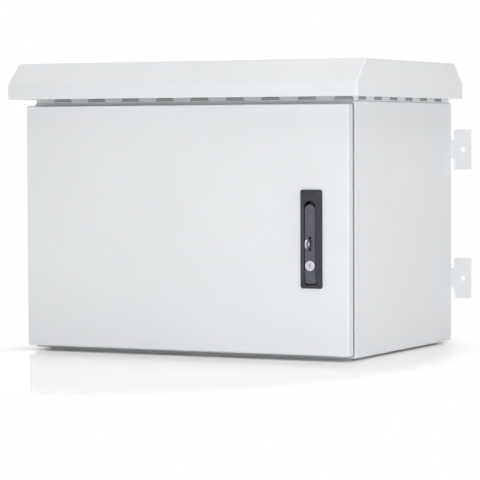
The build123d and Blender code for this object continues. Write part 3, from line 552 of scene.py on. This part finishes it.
def filter_fleece():
    """Soft mat with an uneven top and rounded, sagging edges."""
    low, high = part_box("filter_mat")
    cells_x, cells_y = [round((b - a) * per_size(fleece_cell)) for a, b in zip(low[:2], high[:2])]
    shape = bmesh.new()
    bmesh.ops.create_grid(shape, x_segments=cells_x, y_segments=cells_y, size=0.5)
    raised = bmesh.ops.extrude_face_region(shape, geom=shape.faces[:])["geom"]
    tops = {item for item in raised if isinstance(item, bmesh.types.BMVert)}
    for vert in shape.verts:
        x = low[0] + (vert.co.x + 0.5) * (high[0] - low[0])
        y = low[1] + (vert.co.y + 0.5) * (high[1] - low[1])
        to_edge = min(x - low[0], high[0] - x, y - low[1], high[1] - y)
        z = low[2]
        if vert in tops:
            spot = Vector((x, y, 0)) * per_size(fleece_wave)
            z = high[2] - (1 + noise.noise(spot)) * fleece_waviness * MM
            z -= fleece_edge_drop * MM * math.exp(-to_edge * per_size(fleece_edge_reach))
        vert.co = (x, y, z)
    piece = add_piece("filter_fleece", shape, "cabinet", "filter_fibre")
    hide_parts("filter_mat")
    for polygon in piece.data.polygons:
        polygon.use_smooth = True


# Insect screen behind the vent notches
screen_inset = 2.0
screen_foot = 1.6
screen_height = 14.0
screen_thickness = 0.5


def insect_screen():
    """Standing strip of wire cloth, just inside the vent collar."""
    low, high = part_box("vent_collar")
    inner_low = [low[0] + screen_inset * MM, low[1] + screen_inset * MM, low[2] + screen_foot * MM]
    inner_high = [high[0] - screen_inset * MM, high[1] - screen_inset * MM, inner_low[2]]
    shape = flat_panel(inner_low, inner_high, 2)
    base = shape.faces[:][0]
    walls = bmesh.ops.extrude_edge_only(shape, edges=shape.edges[:])["geom"]
    tops = [item for item in walls if isinstance(item, bmesh.types.BMVert)]
    bmesh.ops.translate(shape, verts=tops, vec=(0, 0, screen_height * MM))
    bmesh.ops.delete(shape, geom=[base], context="FACES_ONLY")
    bmesh.ops.recalc_face_normals(shape, faces=shape.faces)
    bmesh.ops.solidify(shape, geom=shape.faces[:], thickness=screen_thickness * MM)
    add_piece("insect_screen", shape, "cabinet", "zinc_steel", wire_cloth())


# Spot welds on the feet of the bars and the stiffener
weld_radius = 2.8
weld_height = 0.3
weld_ring = 0.9
weld_dish = 0.12
weld_top_share = 0.85


def weld_marks(name, body, slot, places, facing):
    """Dished round marks that spot welding leaves in a foot."""
    shape = bmesh.new()
    turn = Vector((0, 0, 1)).rotation_difference(Vector(facing)).to_matrix().to_4x4()
    for place in places:
        made = bmesh.ops.create_cone(
            shape, cap_ends=True, segments=14,
            radius1=weld_radius * MM, radius2=weld_top_share * weld_radius * MM, depth=weld_height * MM,
            matrix=Matrix.Translation(place) @ turn,
        )
        faces = {f for v in made["verts"] for f in v.link_faces}
        top = max(faces, key=lambda f: f.calc_center_median().dot(Vector(facing)))
        bmesh.ops.inset_region(shape, faces=[top], thickness=weld_ring * MM, use_even_offset=True)
        bmesh.ops.translate(shape, verts=top.verts[:], vec=-Vector(facing) * weld_dish * MM)
    add_piece(name, shape, body, slot)


def spread(first, last, count):
    """Evenly spaced values from first to last."""
    return [first + (last - first) * i / (count - 1) for i in range(count)]


# Hexagon sockets in the screw heads that the open door shows, drawn as dark hexagons of painted shade
socket_radius = 2.4
socket_height = 0.12
socket_rim_share = 0.2


def hex_sockets(name, body, places, facings):
    """Dark hexagon of painted shade in the middle of each screw head, where the socket's hollow is."""
    shape = bmesh.new()
    for place, facing in zip(places, facings):
        turn = Vector((0, 0, 1)).rotation_difference(Vector(facing)).to_matrix().to_4x4()
        made = bmesh.ops.create_cone(
            shape, cap_ends=True, segments=6,
            radius1=socket_radius * MM, radius2=socket_radius * MM, depth=socket_height * MM,
            matrix=Matrix.Translation(place) @ turn,
        )
        faces = {f for v in made["verts"] for f in v.link_faces}
        top = max(faces, key=lambda f: f.calc_center_median().dot(Vector(facing)))
        bmesh.ops.inset_region(shape, faces=[top], thickness=socket_rim_share * socket_radius * MM)
    add_piece(name, shape, body, "fixings", painted_socket_shade)


# Painted shade: a dark block in the key slot
slot_width = 1.2
slot_height = 6.3
slot_sink = 0.5
slot_depth = 2.2
shade_block_edge = 0.15


def key_slot_shade():
    """Dark block of painted shade that closes the key slot a little below the plug's face."""
    plug_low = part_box("key_plug")[0]
    barrel_low, barrel_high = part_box("lock_barrel")
    centre = [(a + b) / 2 for a, b in zip(barrel_low, barrel_high)]
    front = plug_low[1] + slot_sink * MM
    half_width = slot_width / 2 * MM
    half_height = slot_height / 2 * MM
    block_low = [centre[0] - half_width, front, centre[2] - half_height]
    block_high = [centre[0] + half_width, front + slot_depth * MM, centre[2] + half_height]
    shape = flat_panel(block_low, block_high, 1)
    raised = bmesh.ops.extrude_face_region(shape, geom=shape.faces[:])["geom"]
    backs = [item for item in raised if isinstance(item, bmesh.types.BMVert)]
    fronts = [vert for vert in shape.verts if vert not in backs]
    bmesh.ops.translate(shape, verts=backs, vec=(0, slot_depth / 2 * MM, 0))
    bmesh.ops.translate(shape, verts=fronts, vec=(0, -slot_depth / 2 * MM, 0))
    bmesh.ops.recalc_face_normals(shape, faces=shape.faces)
    bmesh.ops.bevel(
        shape, geom=shape.edges[:], offset=shade_block_edge * MM, offset_type="OFFSET", segments=1,
        profile=0.5, affect="EDGES", material=-1,
    )
    add_piece("key_slot_shade", shape, "key", "fixings", painted_socket_shade)


door_bead()
filter_fleece()
insect_screen()
key_slot_shade()

# Marks along the depth bars, inside both side walls
bar_foot = 12.0
bar_end_margin = 18.0
bar_sheet = 1.5
weld_count = 6
for level in ("upper", "lower"):
    for hand, inward in (("left", 1), ("right", -1)):
        low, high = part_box(f"depth_bar_{level}_{hand}")
        wall = low[0] if inward > 0 else high[0]
        runs = spread(low[1] + bar_end_margin * MM, high[1] - bar_end_margin * MM, weld_count)
        rows = (low[2] + bar_foot / 2 * MM, high[2] - bar_foot / 2 * MM)
        spots = [(wall + inward * bar_sheet * MM, y, z) for y in runs for z in rows]
        weld_marks(f"bar_welds_{level}_{hand}", "cabinet", "zinc_steel", spots, (inward, 0, 0))

# Marks along the door stiffener
stiffener_foot = 14.0
low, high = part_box("door_stiffener")
runs = spread(low[2] + bar_end_margin * MM, high[2] - bar_end_margin * MM, weld_count)
columns = (low[0] + stiffener_foot / 2 * MM, high[0] - stiffener_foot / 2 * MM)
spots = [(x, low[1] + bar_sheet * MM, z) for x in columns for z in runs]
weld_marks("stiffener_welds", "door", "cabinet_paint", spots, (0, 1, 0))

# Painted shade for the sockets in the rail screws and the handle screws
rail_head_radius = 5.5
rail_screw_length = 11.0
low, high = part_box("rail_screws")
head_x = high[0] - rail_screw_length * MM
head_y = (low[1] + high[1]) / 2
head_levels = (low[2] + rail_head_radius * MM, high[2] - rail_head_radius * MM)
spots = [(side * head_x, head_y, z) for side in (-1, 1) for z in head_levels]
hex_sockets("rail_screw_sockets", "cabinet", spots, [(1, 0, 0)] * 2 + [(-1, 0, 0)] * 2)
handle_head_radius = 4.5
low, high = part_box("handle_screws")
head_levels = (low[2] + handle_head_radius * MM, high[2] - handle_head_radius * MM)
spots = [((low[0] + high[0]) / 2, high[1], z) for z in head_levels]
hex_sockets("handle_screw_sockets", "door", spots, [(0, 1, 0)] * 2)


def seen_share(tree):
    """Nodes that give 1 for rays from the camera, off gloss or through glass; returns their socket."""
    path = add_node(tree, "ShaderNodeLightPath")
    direct = add_node(
        tree, "ShaderNodeMath",
        options={"operation": "MAXIMUM"},
        links={0: path.outputs["Is Camera Ray"], 1: path.outputs["Is Glossy Ray"]},
    )
    through = add_node(
        tree, "ShaderNodeMath",
        options={"operation": "MAXIMUM"},
        links={0: direct.outputs["Value"], 1: path.outputs["Is Transmission Ray"]},
    )
    return through.outputs["Value"]


# Patch of floor round the cabinet that shows light and shadow; the fade ends at a share of its size
lit_middle_x = 45.0
lit_middle_y = -250.0
lit_half_width = 345.0
lit_half_depth = 560.0
lit_fade_end = 1.25
# The floor lies a hair under the cabinet's foot, so that the two faces don't share one plane
floor_drop = 0.2
floor_gloss_share = 0.22


def white_floor():
    """Pale studio floor that keeps the shadow and a faint reflection."""
    material, tree, place = new_finish("white studio floor")
    matt = add_node(tree, "ShaderNodeBsdfDiffuse", values={"Color": linear("#f8f8f8")})
    gloss = add_node(
        tree, "ShaderNodeBsdfGlossy", values={"Color": linear("#ffffff"), "Roughness": 0.05}
    )
    both = add_node(
        tree, "ShaderNodeMixShader",
        values={"Fac": floor_gloss_share},
        links={1: matt.outputs["BSDF"], 2: gloss.outputs["BSDF"]},
    )
    # Away from the cabinet the floor fades to the white of the background
    scale_x, scale_y = per_size(lit_half_width), per_size(lit_half_depth)
    shifted = add_node(
        tree, "ShaderNodeMapping",
        values={
            "Location": (-lit_middle_x * MM * scale_x, -lit_middle_y * MM * scale_y, 0.0),
            "Scale": (scale_x, scale_y, 0.0),
        },
        links={"Vector": place},
    )
    away = add_node(
        tree, "ShaderNodeVectorMath",
        options={"operation": "LENGTH"},
        links={0: shifted.outputs["Vector"]},
    )
    fade = add_node(
        tree, "ShaderNodeMapRange",
        options={"interpolation_type": "SMOOTHSTEP"},
        values={"From Min": 1.0, "From Max": lit_fade_end},
        links={"Value": away.outputs["Value"]},
    )
    shown = add_node(
        tree, "ShaderNodeMath",
        options={"operation": "MULTIPLY"},
        links={0: fade.outputs["Result"], 1: seen_share(tree)},
    )
    white = add_node(
        tree, "ShaderNodeEmission", values={"Color": linear("#ffffff"), "Strength": 1.0}
    )
    lifted = add_node(
        tree, "ShaderNodeMixShader",
        links={
            "Fac": shown.outputs["Value"],
            1: both.outputs["Shader"],
            2: white.outputs["Emission"],
        },
    )
    add_node(tree, "ShaderNodeOutputMaterial", links={"Surface": lifted.outputs["Shader"]})
    return material


def lay_floor(half_width):
    """Wide flat floor under the cabinet."""
    shape = bmesh.new()
    bmesh.ops.create_grid(shape, x_segments=1, y_segments=1, size=half_width)
    bmesh.ops.translate(shape, verts=shape.verts, vec=(0, 0, -floor_drop * MM))
    mesh = bpy.data.meshes.new("studio_floor")
    shape.to_mesh(mesh)
    shape.free()
    mesh.materials.append(white_floor())
    floor = bpy.data.objects.new("studio_floor", mesh)
    bpy.context.scene.collection.objects.link(floor)


def light_world(strength):
    """Even white surroundings that show as plain white behind the cabinet."""
    world = bpy.data.worlds.new("studio")
    bpy.context.scene.world = world
    world.use_nodes = True
    tree = world.node_tree
    tree.nodes.clear()
    level = add_node(
        tree, "ShaderNodeMapRange",
        values={"To Min": strength, "To Max": 1.0},
        links={"Value": seen_share(tree)},
    )
    back = add_node(
        tree, "ShaderNodeBackground",
        values={"Color": linear("#ffffff")},
        links={"Strength": level.outputs["Result"]},
    )
    add_node(tree, "ShaderNodeOutputWorld", links={"Surface": back.outputs["Background"]})


def soft_lamp(name, place, target, size, power):
    """Large square lamp that faces a target."""
    lamp = bpy.data.lights.new(name, "AREA")
    lamp.shape = "SQUARE"
    lamp.size = size
    lamp.energy = power
    holder = bpy.data.objects.new(name, lamp)
    holder.location = place
    holder.visible_camera = False
    holder.rotation_euler = (Vector(target) - Vector(place)).to_track_quat("-Z", "Y").to_euler()
    bpy.context.scene.collection.objects.link(holder)


def broad_sun(name, source, strength, spread_deg):
    """Wide, even light from one side."""
    lamp = bpy.data.lights.new(name, "SUN")
    lamp.energy = strength
    lamp.angle = math.radians(spread_deg)
    holder = bpy.data.objects.new(name, lamp)
    holder.rotation_euler = (-Vector(source)).to_track_quat("-Z", "Y").to_euler()
    bpy.context.scene.collection.objects.link(holder)


# Plain studio: floor, even surroundings, broad light from above and lamps in front, at the right and behind
lay_floor(half_width=60.0)
light_world(strength=0.13)
broad_sun("top_light", source=(0.06, 0.0, 0.98), strength=2.08, spread_deg=64.0)
soft_lamp("front_softbox", place=(0.5, -1.9, 0.34), target=(0.0, -0.2, 0.32), size=0.4, power=10.5)
soft_lamp("right_softbox", place=(1.6, -0.3, 0.5), target=(0.3, 0.0, 0.25), size=0.7, power=4.2)
soft_lamp("rear_softbox", place=(-1.3, 1.7, 0.6), target=(0.0, 0.0, 0.25), size=0.8, power=11.0)

# Camera fitted to the photograph: place, turn, tilt, roll and lens
camera_place = (1.958, -3.975, 0.3655)
camera_turn_deg = 26.355
camera_tilt_deg = 87.65
camera_roll_rad = -0.0037
camera = bpy.data.cameras.new("photo_camera")
camera.sensor_width = 36.0
camera.lens = 191.1
viewer = bpy.data.objects.new("photo_camera", camera)
turn = Matrix.Rotation(math.radians(camera_turn_deg), 4, "Z")
tilt = Matrix.Rotation(math.radians(camera_tilt_deg), 4, "X")
roll = Matrix.Rotation(camera_roll_rad, 4, "Z")
viewer.matrix_world = Matrix.Translation(camera_place) @ turn @ tilt @ roll
bpy.context.scene.collection.objects.link(viewer)
bpy.context.scene.camera = viewer
bpy.context.scene.view_settings.view_transform = "Standard"
